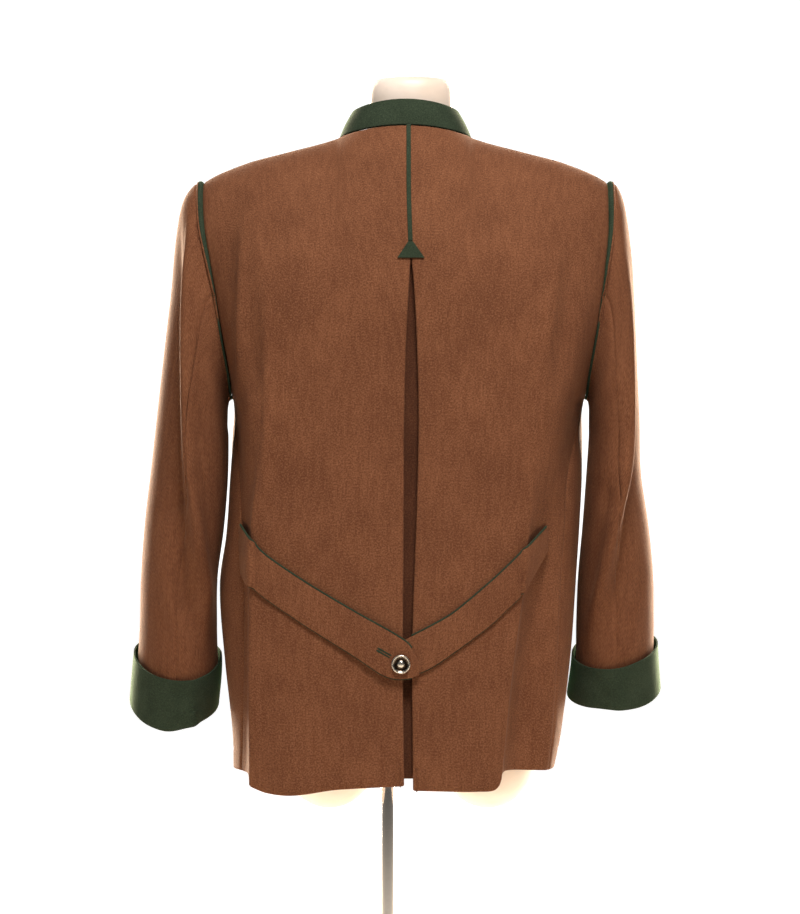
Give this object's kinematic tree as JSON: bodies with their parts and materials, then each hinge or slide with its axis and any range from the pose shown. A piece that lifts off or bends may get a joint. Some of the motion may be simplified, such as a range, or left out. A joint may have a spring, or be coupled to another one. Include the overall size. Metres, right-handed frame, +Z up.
{
  "type": "tyrolean loden jacket on a dress form",
  "caption": "Men's loden jacket with stand collar, green trims, back pleat and buttoned half-belt, worn by a limbless dress form on a pole stand with a round base plate.",
  "frame": {"origin": "centre of the underside of the stand's round base plate", "axes": "+Z up along the pole; the jacket's front faces -Y and its back +Y; +X is the wearer's left"},
  "size_m": [0.6495, 0.34, 1.252],
  "materials": {
    "loden": "heathered brown woven loden with a short nap",
    "loden_underlay": "the same loden inside the pleat",
    "green_felt": "dark green wool felt",
    "button_metal": "antique silvered metal, darker in the dish",
    "form_shell": "smooth off-white shell, satin",
    "chrome": "polished chrome tube",
    "base_metal": "satin chromed plate"
  },
  "bodies": {
    "root": {"back_left": "loden", "back_right": "loden", "pleat_underlay": "loden_underlay", "front_left": "loden", "front_right": "loden", "sleeve_upper_left": "loden", "sleeve_under_left": "loden", "sleeve_upper_right": "loden", "sleeve_under_right": "loden", "cuff_left": "green_felt", "cuff_right": "green_felt", "collar": "green_felt", "belt_left": "loden", "belt_right": "loden", "belt_left_piping": "green_felt", "belt_right_piping": "green_felt", "armhole_piping_left": "green_felt", "armhole_piping_right": "green_felt", "centre_back_strip": "green_felt", "pleat_triangle": "green_felt", "belt_buttonhole": "green_felt", "belt_button": "button_metal", "front_button_1": "button_metal", "front_button_2": "button_metal", "front_button_3": "button_metal", "front_button_4": "button_metal", "front_button_5": "button_metal", "form_torso": "form_shell", "pole": "chrome", "base_plate": "base_metal"}
  },
  "joints": []
}
